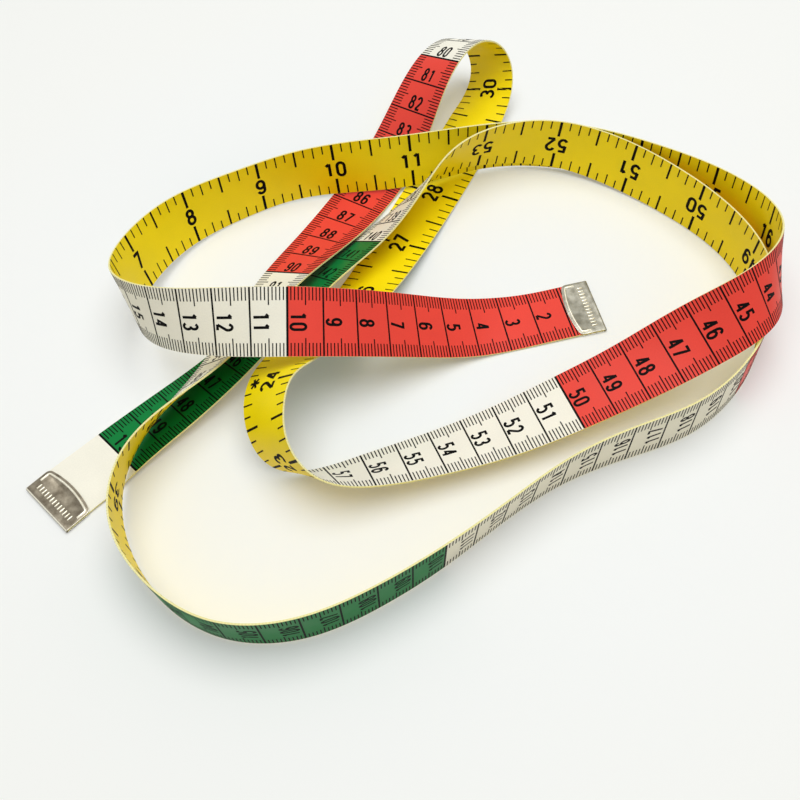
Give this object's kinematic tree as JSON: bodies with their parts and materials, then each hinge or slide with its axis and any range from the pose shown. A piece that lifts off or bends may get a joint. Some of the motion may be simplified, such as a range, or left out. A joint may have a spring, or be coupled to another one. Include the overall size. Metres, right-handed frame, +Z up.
{
  "type": "cloth tape measure",
  "caption": "Soft dressmaker's tape measure lying in loose loops, with a coloured centimetre face, a yellow inch back and a crimped metal plate at each end.",
  "frame": {"origin": "centre of the footprint of the lying tape, on the table that it rests on", "axes": "+Z up from the table, +X along the longer side of the footprint, towards the right in the picture, +Y away from the viewer"},
  "size_m": [0.2198, 0.2087, 0.0381],
  "materials": {
    "front_film": "satin ivory film printed in black, with fields of red and green",
    "core": "woven glass fibre, seen only at the cut edges",
    "back_film": "satin yellow film printed in black",
    "plate": "folded tin plate with an embossed rim, dulled by handling"
  },
  "bodies": {
    "root": {"tape_front_film": "front_film", "glass_fibre_core": "core", "tape_back_film": "back_film", "start_clip": "plate", "end_clip": "plate"}
  },
  "joints": []
}
